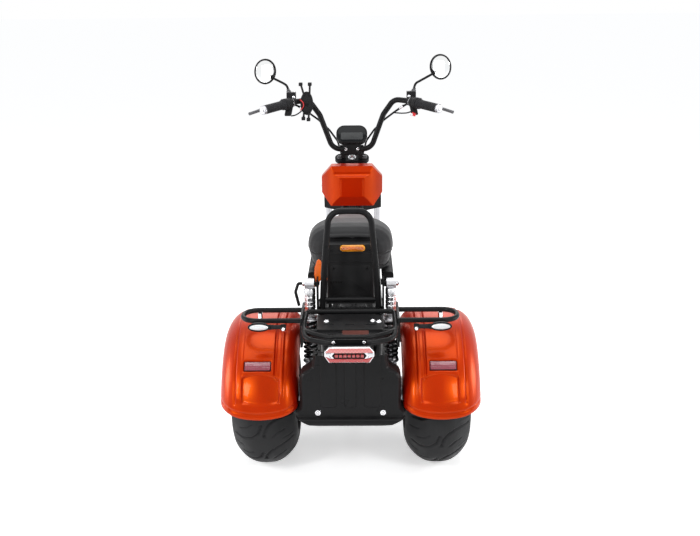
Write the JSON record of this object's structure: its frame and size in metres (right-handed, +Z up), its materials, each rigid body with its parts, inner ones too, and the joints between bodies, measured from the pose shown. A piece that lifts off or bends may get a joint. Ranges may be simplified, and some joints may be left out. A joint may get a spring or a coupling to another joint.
{
  "type": "motorized trike",
  "caption": "Electric three-wheeled chopper with a raked front fork, wide fat tyres, rear fenders with side loops, saddle, rear hoop and a tubular rear rack.",
  "frame": {"origin": "on the ground, at the middle of the overall length and width", "axes": "+X to the rider's right, +Y forward, +Z up"},
  "size_m": [0.8, 1.9394, 1.2849],
  "materials": {
    "black_frame": "satin",
    "orange_paint": "metallic gloss",
    "orange_plastic": "gloss",
    "black_plastic": "matte",
    "seat_vinyl": "matte grained",
    "red_lens": "clear",
    "amber_lens": "clear",
    "clear_lens": "clear",
    "mirror": "polished",
    "silver_metal": "satin",
    "chrome": "polished",
    "grip_rubber": "matte",
    "tyre": "matte"
  },
  "bodies": {
    "chassis": {"amber_lamp": "amber_lens", "axle_housing": "black_frame", "battery_box": "black_plastic", "fender_left": "orange_paint", "fender_right": "orange_paint", "floorboard": "black_plastic", "frame": "black_frame", "front_box": "orange_paint", "hoop": "black_frame", "lamp_wire": "silver_metal", "parking_lever": "black_plastic", "rack": "black_frame", "rear_calipers": "silver_metal", "rear_cover": "black_plastic", "rear_signals": "black_plastic", "reflectors": "red_lens", "release_lever": "orange_plastic", "shock_bodies": "silver_metal", "shock_springs": "black_frame", "side_covers": "black_plastic", "side_loops": "black_frame", "swingarm": "black_frame", "tail_lamp": "red_lens"},
    "steering": {"bar_controls": "black_plastic", "steering_stem": "black_frame", "top_plate": "black_frame", "fork_stanchions": "chrome", "fork_sliders": "black_frame", "front_fender": "orange_paint", "handlebar": "black_frame", "grips": "grip_rubber", "brake_levers": "black_plastic", "mirror_shells": "black_plastic", "mirror_glasses": "mirror", "display": "black_plastic", "bar_clamp": "black_frame", "phone_holder": "black_plastic", "headlamp": "black_plastic", "headlamp_lens": "clear_lens", "control_cables": "black_plastic", "front_caliper": "silver_metal"},
    "seat": {"seat_pan": "black_plastic", "seat_cushion": "seat_vinyl"},
    "wheel_front": {"tyre_front": "tyre", "rim_front": "silver_metal"},
    "wheel_rear_left": {"tyre_rear_left": "tyre", "rim_rear_left": "silver_metal"},
    "wheel_rear_right": {"tyre_rear_right": "tyre", "rim_rear_right": "silver_metal"}
  },
  "joints": [
    {"name": "steering", "type": "hinge", "parent": "chassis", "child": "steering", "pos_m": [0, 0.4, 0.86], "axis": [0, -0.4352, 0.9003], "range_deg": [-35, 35]},
    {"name": "wheel_front_spin", "type": "hinge", "parent": "steering", "child": "wheel_front", "pos_m": [0, 0.74474, 0.225], "axis": [1, 0, 0], "continuous": true},
    {"name": "wheel_rear_left_spin", "type": "hinge", "parent": "chassis", "child": "wheel_rear_left", "pos_m": [-0.283, -0.56, 0.225], "axis": [1, 0, 0], "continuous": true},
    {"name": "wheel_rear_right_spin", "type": "hinge", "parent": "chassis", "child": "wheel_rear_right", "pos_m": [0.283, -0.56, 0.225], "axis": [1, 0, 0], "continuous": true},
    {"name": "seat_lid", "type": "hinge", "parent": "chassis", "child": "seat", "pos_m": [0, 0.04, 0.613], "axis": [-1, 0, 0], "range_deg": [0, 55]}
  ]
}
